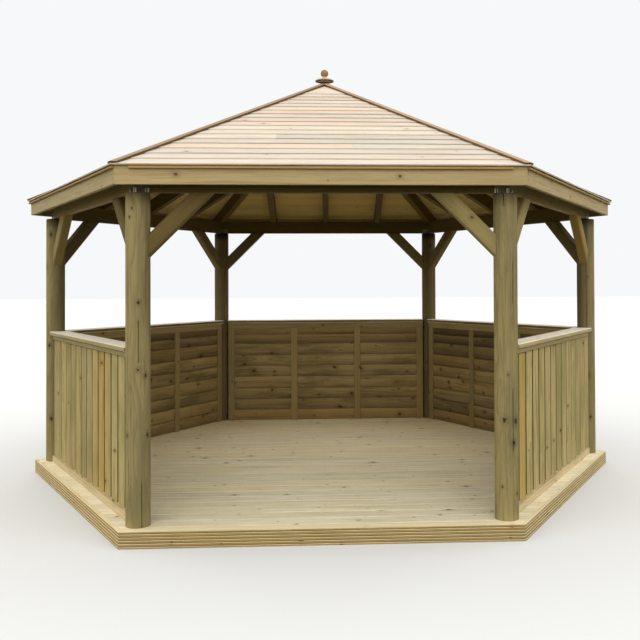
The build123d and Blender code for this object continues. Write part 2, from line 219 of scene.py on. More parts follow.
def timber(name, pale, dark, stain, warm, knot=(84, 58, 34), ring=0.0045, figure=0.5, stained=0.5,
           cell=(2.6, 8.0, 0.4), knotty=0.35, knot_size=0.012, knots_from="grain", spread=0.22,
           warmed=0.6, relief=0.0006, fleck=0.0, streak=0.0, placed=(), ragged_by=0.006):
    """Softwood: growth rings about the heart, fibres, knots that bend the grain, stain and board tone.

    The colours are those of early wood, late wood, stained patches, redder boards and knots.
    """
    material, mix, shader = new_finish(name)
    grain = mix.put("Attribute", attribute_name="grain").outputs["Vector"]
    tones = mix.put("Attribute", attribute_name="board").outputs["Vector"]
    lightness, warmth, knottiness = mix.parts(tones)

    # Knots: a round spot in some of the cells, found at its true size
    skin = mix.put("Attribute", attribute_name=knots_from).outputs["Vector"]
    cells = mix.put("TexVoronoi", {"Vector": mix.scaled(skin, cell), "Scale": 1.0})
    heart = mix.scaled(cells.outputs["Position"], tuple(1 / size for size in cell))
    ragged = mix.noise(skin, (90, 90, 90), detail=1.0)
    ragged = mix.times(ragged, ragged_by, -ragged_by / 2)
    pick = mix.parts(cells.outputs["Color"])[0]
    size = mix.ramp(pick, 1 - knotty, 1.0, 0.0, knot_size, smooth=False)
    size = mix.times(size, mix.times(knottiness, 0.8, 0.5))
    missing = mix.times(mix.maths("LESS_THAN", size, 0.002), 10.0)

    def reach_from(centre, size):
        """How far the surface lies from a knot's middle, unevenly, in sizes of the knot."""
        offset = mix.scaled(mix.vector("SUBTRACT", skin, centre), (0.8, 1.0, 0.0))
        return mix.maths("DIVIDE", mix.maths("ADD", mix.vector("LENGTH", offset), ragged), size)

    reach = mix.maths("ADD", reach_from(heart, mix.maths("MAXIMUM", size, 0.001)), missing)
    for along, around, radius in placed:
        reach = mix.maths("MINIMUM", reach, reach_from((along, around, 0), radius))
    core = mix.ramp(reach, 1.0, 0.7)
    halo = mix.ramp(reach, 3.4, 0.9)

    # Growth rings, bent by a slow wander and pushed round the knots
    wander = mix.noise(grain, (0.9, 5.0, 5.0), detail=2.0, output="Color")
    wander = mix.scaled(mix.vector("SUBTRACT", wander, (0.5, 0.5, 0.5)), (0, 0.05, 0.05))
    bent = mix.vector("ADD", grain, wander)
    radius = mix.vector("LENGTH", mix.scaled(bent, (0, 1, 1)))
    radius = mix.times(halo, 0.7 * knot_size, radius)
    turns = mix.maths("DIVIDE", radius, ring)
    uneven = mix.put("TexNoise", {"W": mix.times(turns, 0.37), "Scale": 1.0, "Detail": 1.0},
                     noise_dimensions="1D").outputs["Fac"]
    turns = mix.times(uneven, 2.2, turns)
    saw = mix.maths("FRACT", turns)
    late = mix.maths("POWER", saw, 2.6)
    late = mix.times(late, mix.ramp(saw, 1.0, 0.94))
    late = mix.times(late, mix.ramp(uneven, 0.3, 0.7, 0.45, 1.0))

    # Fibres, flecks and the stain that the treatment and the weather leave
    fibre = mix.noise(bent, (11, 520, 520), detail=2.0, roughness=0.6)
    broad = mix.noise(bent, (3.2, 95, 95), detail=2.0)
    blotch = mix.noise(grain, (1.7, 7.5, 7.5), detail=4.0, roughness=0.6)
    patch = mix.ramp(blotch, 0.42, 0.68, 0.0, stained)

    wood = mix.tint(mix.times(late, figure), pale, dark)
    wood = mix.tint(patch, wood, stain)
    wood = mix.tint(mix.ramp(warmth, 0.35, 1.0, 0.0, warmed), wood, warm)
    if streak:
        lines = mix.noise(bent, (1.3, 60, 60), detail=3.0, roughness=0.65)
        wood = mix.tint(mix.ramp(lines, 0.5, 0.72, 0.0, streak), wood, dark)
    if fleck:
        specks = mix.noise(bent, (26, 230, 230), detail=1.0)
        wood = mix.tint(mix.ramp(specks, 0.66, 0.76, 0.0, fleck), wood, knot)
    value = mix.times(mix.maths("SUBTRACT", fibre, 0.5), 0.34, 1.0)
    value = mix.times(mix.maths("SUBTRACT", broad, 0.5), 0.36, value)
    tone = mix.times(mix.maths("SUBTRACT", lightness, 0.5), 2 * spread, 1.0)
    value = mix.times(value, tone)
    wood = mix.vector("SCALE", wood)
    mix.feed(wood.node, {"Scale": value})
    wood = mix.tint(mix.times(halo, 0.25), wood, knot)
    rings = mix.maths("SINE", mix.times(reach, 26.0))
    spot = mix.times(rings, 0.1, 0.85)
    wood = mix.tint(mix.times(core, spot), wood, knot)

    raised = mix.times(late, 0.5, mix.times(fibre, 0.45))
    raised = mix.times(core, 0.5, raised)
    bump = mix.put("Bump", {"Height": raised, "Strength": 0.7, "Distance": relief})
    mix.feed(shader, {
        "Base Color": wood, "Roughness": mix.ramp(fibre, 0.3, 0.7, 0.82, 0.64), "IOR": 1.4,
        "Specular IOR Level": 0.3, "Normal": bump.outputs[0],
    })
    return material


def new_layers(bm):
    """The two values that every timber point carries: its place in the tree and its board's tone."""
    return bm.verts.layers.float_vector.new("grain"), bm.verts.layers.float_vector.new("board")


def blank():
    """An empty mesh, ready for boards."""
    bm = bmesh.new()
    new_layers(bm)
    return bm


def ease(bm, edges, offset, segments=1, clamp=False):
    """Takes the sharpness off some edges."""
    ops.bevel(bm, geom=edges, offset=offset, segments=segments, profile=0.5, affect="EDGES",
              clamp_overlap=clamp, material=-1)


def random_heart(rng):
    """Where in the tree a board was sawn: how far along, and how far from the heart."""
    side = rng.choice((-1, 1))
    return Vector((rng.uniform(-40, 40), rng.uniform(-0.05, 0.05), side * rng.uniform(0.02, 0.09)))


def random_tones(rng):
    """A board's lightness, warmth and knots, each 0 to 1."""
    return Vector((rng.random(), rng.random(), rng.random()))


def merge(target, one, place):
    """Joins a small part, put in its place, to a larger one."""
    one.transform(place)
    carried = bpy.data.meshes.new("carried")
    one.to_mesh(carried)
    target.from_mesh(carried)
    bpy.data.meshes.remove(carried)
    one.free()


def face_finish(bm, index, way, least):
    """Gives the faces that look a certain way another of the piece's finishes."""
    bm.normal_update()
    for face in bm.faces:
        if face.normal.dot(way) > least:
            face.material_index = index


def finish_piece(name, bm, materials, replaced=(), smooth=None):
    """The piece's object: mesh, materials, the body that it rides on and the nodes that it stands for."""
    piece = add_object(name, bm, materials)
    if smooth:
        piece.data.shade_smooth()
        piece.data.set_sharp_from_angle(angle=radians(smooth))
    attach(piece, "root")
    if replaced:
        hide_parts(*replaced)


def islands(bm):
    """The separate solids of a mesh, each as a list of its points, in the same order every time."""
    waiting = dict.fromkeys(bm.verts)
    while waiting:
        found = [waiting.popitem()[0]]
        for vert in found:
            for edge in vert.link_edges:
                other = edge.other_vert(vert)
                if other in waiting:
                    del waiting[other]
                    found.append(other)
        yield found


def middle_of(group):
    return sum((vert.co for vert in group), Vector()) / len(group)


def dressed(node, edge, seed, shortest=0.02, sharpest=25, tone=None):
    """A copy of a node's sticks with their arrises eased and the grain run along each stick."""
    rng = Random(seed)
    bm = bmesh.new()
    bm.from_mesh(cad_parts[node].data)
    ops.remove_doubles(bm, verts=bm.verts, dist=WELD)
    ops.dissolve_limit(bm, angle_limit=radians(1), verts=bm.verts, edges=bm.edges)
    arrises = [e for e in bm.edges
               if e.calc_length() > shortest and e.calc_face_angle(0) > radians(sharpest)]
    ease(bm, arrises, edge, segments=2, clamp=True)
    grain, board = new_layers(bm)
    for group in sorted(islands(bm), key=lambda group: tuple(round(c, 3) for c in middle_of(group))):
        longest = max((e for v in group for e in v.link_edges), key=lambda e: e.calc_length())
        widest = max((f for v in group for f in v.link_faces), key=lambda f: f.calc_area())
        along = (longest.verts[1].co - longest.verts[0].co).normalized()
        through = (widest.normal - along * widest.normal.dot(along)).normalized()
        across = through.cross(along)
        middle = middle_of(group)
        heart = random_heart(rng)
        tones = tone(rng, middle) if tone else random_tones(rng)
        for vert in group:
            off = vert.co - middle
            vert[grain] = Vector((off.dot(along), off.dot(across), off.dot(through))) + heart
            vert[board] = tones
    return bm


def cad_piece(name, node, edge, seed, material, slot="structural_timber", smooth=None, **how):
    """A piece made of one node's own sticks, in one finish."""
    finish_piece(name, dressed(node, edge, seed, **how), [material], [node], smooth)


def side_matrix(side):
    """Carries the front side's work round to another side."""
    return Matrix.Rotation(SIDE_TURN * side, 4, "Z")


def side_way(side, way=OUTWARD):
    """The way that one of the front side's ways has on another side."""
    return side_matrix(side).to_3x3() @ way


def lie(side, place, along, face):
    """A board's place: drawn for the front side, then carried round to its own."""
    axes = Matrix((along, face.cross(along), face)).transposed().to_4x4()
    return side_matrix(side) @ Matrix.Translation(place) @ axes


ways = [side_way(side) for side in range(SIDES)]
frame_timber = timber(
    "structural_timber", (120, 104, 68), (88, 70, 42), (94, 88, 56), (128, 100, 62), ring=0.005,
    knotty=0.3, relief=0.0008)
cad_piece("floor_joists", "floor_frame", 0.003, 11, frame_timber)


# Skirt
# Grooved boards on edge round the floor, mitred at the six corners, their top edges level with the deck.
# Fresh, yellow softwood with small round knots; the darker finish in the grooves is painted shade.
skirt_timber = timber(
    "skirt_timber", (173, 149, 94), (136, 107, 57), (155, 130, 78), (176, 145, 87), (92, 56, 24),
    ring=0.0035, figure=0.6, cell=(4.2, 9.0, 0.4), knotty=0.6, knot_size=0.011, spread=0.06, streak=0.35)
# The grooves' finish: darker timber, as painted shade.
groove_shade_timber = timber(
    "skirt_groove_timber", (116, 91, 44), (90, 68, 30), (100, 80, 38), (120, 90, 42), ring=0.0035,
    figure=0.4, knotty=0.0, spread=0.06)
edge_timber = timber(
    "edge_board_timber", (242, 228, 188), (204, 180, 130), (226, 209, 164), (240, 219, 170),
    (112, 76, 38), ring=0.004, figure=0.55, spread=0.04, streak=0.45)
GROOVE_START, GROOVE_FLOOR = 0.0006, 0.004
skirt = dressed("floor_skirt", 0.0008, 12, sharpest=35)
skirt_face = max(vert.co.dot(OUTWARD) for vert in skirt.verts)
# Painted shade: faces set back into the grooves take the darker groove finish.
for face in skirt.faces:
    depth = skirt_face - max(face.calc_center_median().dot(way) for way in ways)
    if GROOVE_START < depth < GROOVE_FLOOR:
        face.material_index = 1
face_finish(skirt, 2, UPRIGHT, 0.6)
finish_piece("skirt_boards", skirt, [skirt_timber, groove_shade_timber, edge_timber],
             ["floor_skirt"])


# Floor boards
# Planed boards laid along X with a small gap between them, cut to the skirt on the slanting sides,
# with a narrower closing board along the front and back. Two screws hold each board at each joist.
DECK_GAP = 0.005
DECK_PITCH = 0.1325
DECK_EDGE = 0.0018
END_GAP = 0.001
JOIST_COUNT = 9
JOIST_WIDTH = 0.044
SCREW_RADIUS = 0.004
SCREW_INSET = 0.03
SCREW_DEPTH = 0.0032
SCREW_LIFT = 0.0002
SCREW_MARGIN = 0.05
DISH_DEPTH = 0.0006


def stick(target, length, width, thickness, place, edge, rng, tones=None, cuts=(), segments=1,
          material=0, fade=0.0):
    """One board drawn along X with its face up, cut by planes, its arrises eased, then put in place."""
    if tones is None:
        tones = random_tones(rng)
    heart = random_heart(rng) if rng else Vector()
    one = bmesh.new()
    ops.create_cube(one, size=1)
    ops.scale(one, vec=(length, width, thickness), verts=one.verts)
    to_board = place.inverted()
    for point, normal in cuts:
        everything = one.verts[:] + one.edges[:] + one.faces[:]
        result = ops.bisect_plane(one, geom=everything, plane_co=to_board @ point,
                                  plane_no=to_board.to_3x3() @ normal, clear_outer=True)
        rim = [e for e in result["geom_cut"] if isinstance(e, bmesh.types.BMEdge)]
        if rim:
            ops.edgeloop_fill(one, edges=rim)
    if len(one.faces) < 4:
        one.free()
        return
    ease(one, one.edges, edge, segments, clamp=True)
    ops.dissolve_degenerate(one, dist=WELD, edges=one.edges)
    ops.recalc_face_normals(one, faces=one.faces)
    grain, board = new_layers(one)
    for vert in one.verts:
        vert[grain] = vert.co + heart
        # fade paints light and shade across the board: its lightness rises towards +Y
        vert[board] = tones + Vector((fade * vert.co.y / width, 0, 0))
    for face in one.faces:
        face.material_index = material
    merge(target, one, place)


deck_timber = timber(
    "deck_timber", (250, 240, 208), (190, 168, 120), (218, 206, 162), (250, 230, 184), (92, 62, 30),
    ring=0.004, figure=0.55, knotty=0.65, knot_size=0.014, spread=0.16, warmed=0.8, fleck=0.4,
    streak=0.45, relief=0.0007)

deck_low, deck_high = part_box("floor_boards")
deck_size = deck_high - deck_low
deck_apothem = deck_high.x * cos(HALF_TURN)
deck_rows = round(deck_size.y / DECK_PITCH)
deck_pitch = deck_size.y / deck_rows
slanting = [(ways[side] * (deck_apothem - END_GAP), ways[side]) for side in (1, 2, 4, 5)]
rng = Random(21)
deck = blank()
middles = [deck_low.y + (row + 0.5) * deck_pitch for row in range(deck_rows)]
for row, middle in enumerate(middles):
    place = Matrix.Translation((0, middle, deck_high.z - deck_size.z / 2))
    # Painted light: the rows are painted paler and warmer towards the back of the floor.
    back = row / (deck_rows - 1)
    tones = Vector((0.3 + 0.66 * back, 0.3 + 0.6 * back, rng.random()))
    tones += Vector((rng.uniform(-0.13, 0.13), rng.uniform(-0.2, 0.2), 0))
    stick(deck, deck_size.x, deck_pitch - DECK_GAP, deck_size.z, place, DECK_EDGE, rng, tones,
          cuts=slanting, segments=2)
finish_piece("deck_boards", deck, [deck_timber], ["floor_boards"])
cad_piece("edge_boards", "floor_border", DECK_EDGE, 22, edge_timber, "deck_boards")


def plated_steel(name, scale, detail, first, second, gloss, metallic):
    """Plated steel, mottled in colour and in polish by one fine noise."""
    material, mix, shader = new_finish(name)
    spot = mix.put("TexCoord").outputs["Object"]
    dull = mix.noise(spot, (scale, scale, scale), detail=detail)
    mix.feed(shader, {"Base Color": mix.tint(dull, first, second),
                      "Roughness": mix.ramp(dull, 0.3, 0.7, *gloss), "Metallic": metallic})
    return material


def screw_head(target, place):
    """A countersunk head, dished towards its drive."""
    one = bmesh.new()
    ops.create_cone(one, cap_ends=True, segments=8, radius1=SCREW_RADIUS * 0.45, radius2=SCREW_RADIUS,
                    depth=SCREW_DEPTH)
    ops.translate(one, verts=one.verts, vec=(0, 0, -SCREW_DEPTH / 2))
    ops.recalc_face_normals(one, faces=one.faces)
    top = [max(one.faces, key=lambda face: face.calc_center_median().z)]
    ops.inset_region(one, faces=top, thickness=SCREW_RADIUS * 0.35, depth=-DISH_DEPTH)
    ops.inset_region(one, faces=top, thickness=SCREW_RADIUS * 0.2, depth=-3 * DISH_DEPTH)
    merge(target, one, place)


screw_steel = plated_steel("screw_steel", 300, 2.0, (120, 112, 98), (70, 62, 50), (0.4, 0.65), 0.8)

rim_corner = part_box("floor_frame")[1].x - JOIST_WIDTH / cos(HALF_TURN)
joist_spacing = 2 * rim_corner / (JOIST_COUNT + 1)
screws = bmesh.new()
for middle in middles:
    for joist in range(1, JOIST_COUNT + 1):
        x = joist * joist_spacing - rim_corner
        for y in (middle - deck_pitch / 2 + SCREW_INSET, middle + deck_pitch / 2 - SCREW_INSET):
            if max(Vector((x, y, 0)).dot(way) for way in ways) < deck_apothem - SCREW_MARGIN:
                slip = Vector((rng.uniform(-0.006, 0.006), rng.uniform(-0.004, 0.004), 0))
                place = Vector((x, y, deck_high.z + SCREW_LIFT)) + slip
                screw_head(screws, Matrix.Translation(place))
finish_piece("deck_screws", screws, [screw_steel])


# Posts
# Six machine-rounded softwood posts, pressure treated, standing on the floor at the corners.
# They have opened in drying: long checks run up them, and the faces show knots and stained patches.
POST_NAMES = ["front_right", "right", "back_right", "back_left", "left", "front_left"]
POST_FACETS = 72
POST_RINGS = 46
POST_CHAMFER = 0.007
POST_FOOT_CHAMFER = 0.001
POST_HOLLOW = 0.0006
# Painted shade at the top of each post: where it starts, as a share of the height, and how dark
SHADED_TOP = 0.955
SHADED_BY = 0.75
GRAIN_WANDER = 0.015
CHECK_WIDTH = 0.0016
CHECK_DEPTH = 0.01
POST_COLOURS = ((146, 131, 87), (104, 85, 48), (114, 106, 70), (156, 129, 80), (40, 28, 8))

# Lightness, warmth and knots of each post; the lower lightness of the side and back posts is painted
# shade
POST_TONES = {
    "front_left": (0.6, 0.35, 0.9), "front_right": (0.62, 0.3, 0.9), "left": (0.34, 0.55, 0.7),
    "right": (0.24, 0.4, 0.8), "back_left": (-0.22, 1.0, 0.6), "back_right": (-0.22, 1.0, 0.6),
}

# Painted light: how much paler each post is painted towards its lit side, +X, or -X where below nought
PAINTED_SIDE_LIGHT = {"left": -0.38, "right": 0.34, "front_left": -0.16, "front_right": -0.1}

# How much paler the two back posts are outside, in the open, than inside, where their lower lightness is
# painted shade
OPEN_SIDE = 0.6

# Knots that show on the two front posts: up the shaft from its middle, round it, and radius
POST_KNOTS = {
    "front_left": [(0.327, -0.0934, 0.009), (-0.057, -0.0958, 0.008), (-0.092, -0.0516, 0.009),
                   (-0.432, -0.037, 0.01), (-0.434, -0.169, 0.008), (0.819, -0.148, 0.005)],
    "front_right": [(-0.107, -0.1159, 0.006), (-0.37, -0.1378, 0.013), (-0.379, -0.063, 0.015),
                    (-0.506, -0.0768, 0.011), (-0.762, -0.1523, 0.006), (-0.805, -0.052, 0.007)],
}

# Checks: column round the post, foot and head up the shaft as shares of its height, width
POST_CHECKS = {
    "front_right": [(58, 0.2, 0.4, 2), (59, 0.66, 0.8, 1.2), (64, 0.02, 0.2, 1), (50, 0.975, 1, 2)],
    "front_left": [(57, 0.49, 0.62, 1.6), (60, 0, 0.14, 1.2), (47, 0.12, 0.2, 1), (64, 0.62, 0.95, 0.7)],
}


def rounded_post(name, rng, checks, turn):
    """A turned shaft, slightly out of true, opened along its checks."""
    low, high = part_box("post_" + name)
    centre = (low + high) / 2
    radius = (high.x - low.x) / 2
    tall = high.z - low.z
    bm = bmesh.new()
    ops.create_cone(bm, cap_ends=True, segments=POST_FACETS, radius1=radius, radius2=radius, depth=tall)
    uprights, head_rim, foot_rim = [], [], []
    for edge in bm.edges:
        first, second = (v.co.z for v in edge.verts)
        (uprights if first * second < 0 else head_rim if first > 0 else foot_rim).append(edge)
    ops.subdivide_edges(bm, edges=uprights, cuts=POST_RINGS)
    ease(bm, head_rim, POST_CHAMFER, segments=2)
    ease(bm, foot_rim, POST_FOOT_CHAMFER)
    waves = [(rng.uniform(1.5, 5.0), rng.uniform(0, tau), rng.uniform(0.2, 1)) for _ in range(4)]
    dents = [(rng.choice((2, 3, 4, 5)), rng.uniform(0, tau), rng.uniform(1, 4), rng.uniform(0, tau))
             for _ in range(4)]
    step = tau / POST_FACETS
    for vert in bm.verts:
        out = hypot(vert.co.x, vert.co.y)
        angle = atan2(vert.co.y, vert.co.x)
        column = round(angle / step) % POST_FACETS
        share = vert.co.z / tall + 0.5
        wander = GRAIN_WANDER * sum(a * sin(f * share * 3 + p) for f, p, a in waves)
        drop = 0.0
        for place, foot, head, wide in checks:
            gone = (column - place + POST_FACETS // 2) % POST_FACETS - POST_FACETS // 2
            if abs(gone) > 1 or not foot <= share <= head:
                continue
            open_share = 1.0 if head >= 1.0 else min(1.0, 6 * (head - share) / (head - foot))
            open_share = min(open_share, 6 * (share - foot) / (head - foot))
            if gone == 0:
                drop = CHECK_DEPTH * min(2.0, wide) * open_share
            else:
                angle -= gone * (step - wide * CHECK_WIDTH / radius) * open_share
        hollow = sum(sin(n * angle + p) * sin(f * share * 4 + q) for n, p, f, q in dents) / 4
        out -= drop + POST_HOLLOW * (0.5 + 0.5 * hollow)
        vert.co.x = out * cos(angle + wander)
        vert.co.y = out * sin(angle + wander)
    ops.recalc_face_normals(bm, faces=bm.faces)
    grain, board = new_layers(bm)
    skin = bm.loops.layers.float_vector.new("skin")
    heart = Vector((rng.uniform(-40, 40), rng.uniform(-0.012, 0.012), rng.uniform(-0.012, 0.012)))
    tones = Vector(POST_TONES[name])
    side_light = PAINTED_SIDE_LIGHT.get(name, 0.0)
    opened = OPEN_SIDE if name.startswith("back") else 0.0
    for vert in bm.verts:
        vert[grain] = Vector((vert.co.z, vert.co.x, vert.co.y)) + heart
        # Painted shade: each post darkens over its top share, under the beams and shoes.
        top = max(0.0, (vert.co.z / tall + 0.5 - SHADED_TOP) / (1 - SHADED_TOP))
        # Painted light across the post: one side paler, and the back posts paler outside than inside
        pale = side_light * vert.co.x / radius + opened * max(0.0, vert.co.y / radius)
        vert[board] = tones + Vector((pale - SHADED_BY * top, 0, 0))
    for face in bm.faces:
        middle = face.calc_center_median()
        about = atan2(middle.y, middle.x)
        for loop in face.loops:
            angle = atan2(loop.vert.co.y, loop.vert.co.x)
            angle += round((about - angle) / tau) * tau
            loop[skin] = Vector((loop.vert.co.z, radius * angle, turn))
    ops.translate(bm, verts=bm.verts, vec=centre)
    placed = POST_KNOTS.get(name, [])
    wood = timber(
        "round_post_timber_" + name, *POST_COLOURS, ring=0.0042, figure=0.55, stained=0.75,
        cell=(3.4, 7.5, 1.0), knotty=0.1 if placed else 0.5, knot_size=0.008 if placed else 0.016,
        knots_from="skin", spread=0.4, warmed=0.5, relief=0.0011, fleck=0.25, streak=0.55,
        placed=placed, ragged_by=0.016)
    finish_piece("round_post_" + name, bm, [wood], ["post_" + name], smooth=38)


for index, name in enumerate(POST_NAMES):
    rng = Random(300 + index)
    own = [(rng.randrange(POST_FACETS), rng.uniform(0, 0.5), rng.uniform(0.6, 0.97),
            rng.uniform(0.6, 1.1)) for _ in range(3)]
    rounded_post(name, rng, POST_CHECKS.get(name, own), 7.3 * index)


# Ring beams
# Planed beams on edge from post to post, mitred over the posts, weathered olive outside.
beam_timber = timber(
    "beam_timber", (120, 101, 50), (86, 66, 30), (98, 86, 40), (130, 100, 48), (74, 50, 26), spread=0.4,
    streak=0.3, relief=0.0009)
# Painted light and shade: each beam's lightness, far paler at the front left and front right than
# elsewhere
BEAM_LIGHTNESS = {"front": 0.0, "front_right": 0.9, "back_right": 0.1, "back": -0.04, "back_left": 0.1,
                  "front_left": 1.1}


def beam_tone(rng, middle):
    """Each beam's painted lightness, standing in for its light and shade, told from where its middle
    stands.
    """
    nearest = min(range(SIDES), key=lambda side: -middle.dot(ways[side]))
    return Vector((BEAM_LIGHTNESS[SIDE_NAMES[nearest]], rng.random(), rng.random()))


for index, side_name in enumerate(SIDE_NAMES):
    cad_piece("ring_beam_" + side_name, "beam_" + side_name, 0.003, 400 + index, beam_timber,
              tone=beam_tone)


# Post shoes
# Galvanised sheet, bent up round both beams at every post top, with hexagon screws low on the outside.
# A brighter strap end and two bars show beside them.
SHOE_STANDS = 0.0036
BOLT_RUNS = (0.03, 0.052)
BOLT_LIFT = 0.021
BOLT_RADIUS = 0.006
BOLT_HEIGHT = 0.005
BOLT_CHAMFER = 0.0012
BOLT_SINKS = 0.0003
STRAP_THICKNESS = 0.003
STRAP_SINKS = 0.0005
STRAP_REACH = 0.01
STRAP_FOOT = -0.008
STRAP_HEAD = 0.03
STRAP_ARRIS = 0.0008
BARS = ((0.062, 0.004), (0.078, 0.008))
BAR_FOOT = 0.001
BAR_HEAD = 0.026

galvanised, metal, plating = new_finish("galvanised_sheet")
spot = metal.put("TexCoord").outputs["Object"]
spangle = metal.put("TexVoronoi", {"Vector": metal.scaled(spot, (90, 90, 90)), "Scale": 1.0})
shade = metal.parts(spangle.outputs["Color"])[0]
dirt = metal.ramp(metal.noise(spot, (9, 9, 9), detail=4.0), 0.4, 0.65)
zinc = metal.tint(shade, (100, 92, 64), (118, 108, 78))
zinc = metal.tint(metal.times(dirt, 0.75), zinc, (72, 64, 40))
gloss = metal.ramp(dirt, 0.0, 1.0, 0.42, 0.7)
metal.feed(plating, {"Base Color": zinc, "Roughness": gloss, "Metallic": 0.2})

bright_zinc = plated_steel("bright_zinc", 160, 3.0, (188, 176, 150), (214, 204, 180), (0.35, 0.55), 0.3)

cad_piece("post_shoes", "post_brackets", 0.0006, 50, galvanised, "galvanised_steel", shortest=0.01)

beam_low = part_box("beam_front")[0]
shoe_apothem = -beam_low.y + SHOE_STANDS
corner = -beam_low.y * tan(HALF_TURN)
strips = [(STRAP_REACH / 2, STRAP_REACH, STRAP_FOOT, STRAP_HEAD)]
strips += [(run, wide, BAR_FOOT, BAR_HEAD) for run, wide in BARS]
bolts, straps = bmesh.new(), blank()
for side in range(SIDES):
    for end in (-1, 1):
        for run in BOLT_RUNS:
            one = bmesh.new()
            ops.create_cone(one, cap_ends=True, segments=6, radius1=BOLT_RADIUS, radius2=BOLT_RADIUS,
                            depth=BOLT_HEIGHT)
            ease(one, [e for e in one.edges if min(v.co.z for v in e.verts) > 0], BOLT_CHAMFER)
            out = shoe_apothem + BOLT_HEIGHT / 2 - BOLT_SINKS
            place = Matrix.Translation((end * (corner - run), -out, beam_low.z + BOLT_LIFT))
            merge(bolts, one, side_matrix(side) @ place @ Matrix.Rotation(pi / 2, 4, "X"))
        for run, wide, foot, head in strips:
            out = shoe_apothem + STRAP_THICKNESS / 2 - STRAP_SINKS
            place = (end * (corner - run), -out, beam_low.z + (foot + head) / 2)
            stick(straps, head - foot, wide, STRAP_THICKNESS, lie(side, place, -UPRIGHT, OUTWARD),
                  STRAP_ARRIS, None, Vector())
finish_piece("shoe_screws", bolts, [galvanised])
finish_piece("shoe_straps", straps, [bright_zinc])


# Knee braces
# Square-sawn braces at 45 degrees from the posts to the beams, their long edges eased.
brace_timber = timber(
    "brace_timber", (150, 133, 86), (106, 83, 42), (120, 107, 60), (158, 127, 60), (84, 56, 28),
    figure=0.6, knotty=0.45, spread=0.45, streak=0.3, relief=0.0009)


def brace_tone(rng, middle):
    """The front left brace is darker than the front right one; those at the back are painted darkest, as
    shade under the roof.
    """
    lightness, warmth = rng.uniform(0.35, 0.65), rng.random()
    if middle.y > 0:
        lightness = rng.uniform(-0.15, 0.15)
    elif middle.y < -1.7:
        lightness, warmth = (-0.09, 1.0) if middle.x < 0 else (0.63, 0.0)
    return Vector((lightness, warmth, rng.random()))


for index, side_name in enumerate(SIDE_NAMES):
    cad_piece("knee_braces_" + side_name, "braces_" + side_name, 0.002, 500 + index, brace_timber,
              smooth=30, shortest=0.08, sharpest=30, tone=brace_tone)


# Panels
# Five framed half walls. Feather-edged boards stand upright outside, the thick edge of each towards the
# front; inside they lie level between stiles and battens, the thick edge of each at the top.
OUTER_PITCH = 0.152
OUTER_GAP = 0.0022
OUTER_BACK = 1.866
OUTER_THICK = 0.034
OUTER_THIN = 0.005
OUTER_CHAMFER = (0.045, 0.022)
OUTER_FOOT = 0.0503
OUTER_HEAD = 0.959
INNER_GAP = 0.0015
INNER_BACK = 1.8405
INNER_THICK = 0.027
INNER_THIN = 0.011
# Painted shade on each inner board: how much darker it grows from its thick edge to its thin one
INNER_FADE = 0.5
INNER_LAPS = (0.0, 0.11, 0.22, 0.33, 0.45, 0.56, 0.67, 0.79, 0.88, 0.985)
STILE_WIDTH = 0.064
BATTEN_PLACES = (-0.972, -0.3225, 0.3275, 0.972)
SOLE_HEIGHT = 0.05
HEAD_HEIGHT = 0.036
INNER_RAIL_HEIGHT = 0.058
STILE_FACE = 1.80815
STILE_BACK = 1.82665
SOLE_FACE = 1.90515
HEAD_FACE = 1.90315
HEAD_GAP = 0.008
SEAM = 0.0005
PITCH_SPREAD = 0.004
LAP_SPREAD = 0.002

outer_timber = timber(
    "outer_board_timber", (184, 167, 118), (134, 111, 62), (148, 138, 86), (182, 153, 82), (92, 60, 26),
    figure=0.75, stained=0.75, cell=(3.0, 9.0, 0.4), knotty=0.5, spread=0.26, warmed=0.75, streak=0.8)
# Painted shade for the lap edges of the outer boards
outer_lap_shade_timber = timber(
    "outer_lap_shade_timber", (126, 104, 56), (96, 74, 36), (110, 92, 50), (130, 98, 50), knotty=0.0,
    spread=0.1, streak=0.3)
inner_timber = timber(
    "inner_board_timber", (160, 138, 92), (100, 79, 44), (108, 94, 56), (164, 134, 80), (58, 38, 14),
    ring=0.005, figure=0.7, stained=0.85, cell=(3.6, 10.0, 0.4), knotty=0.6, knot_size=0.017, spread=0.4,
    fleck=0.4, streak=0.7, relief=0.0009, ragged_by=0.01)
rail_timber = timber(
    "panel_frame_timber", (142, 124, 80), (104, 84, 48), (112, 100, 62), (148, 122, 74), (70, 46, 22),
    figure=0.55, spread=0.14, warmed=0.4, streak=0.4)
head_timber = timber(
    "head_lath_timber", (170, 152, 104), (130, 108, 66), (146, 130, 84), (174, 150, 98), (84, 56, 28),
    spread=0.08, streak=0.4)
sole_timber = timber(
    "sole_timber", (208, 190, 150), (164, 142, 100), (176, 162, 122), (206, 180, 134), (96, 66, 38),
    stained=0.7, spread=0.05, streak=0.45)


def feathered(target, length, width, thick, thin, place, rng, tones, ends=(), chamfer=(0.0, 0.0),
              fade=0.0):
    """A feather-edged board: flat behind, its face falling from near the thick edge to the thin one."""
    run, drop = chamfer
    crest = Vector((0, width / 2 - run, thick / 2))
    slope = Vector((0, thin - thick, width - run)).normalized()
    cuts = [(place @ crest, place.to_3x3() @ slope)] + list(ends)
    if run:
        cuts.append((place @ crest, place.to_3x3() @ Vector((0, drop, run)).normalized()))
    stick(target, length, width, thick, place, BOARD_ARRIS, rng, tones, cuts=cuts, fade=fade)


low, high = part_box("panel_back")
panel_low, panel_half, height = low.z, high.x, high.z - low.z
half_about = Matrix.Rotation(pi, 4, "Z")

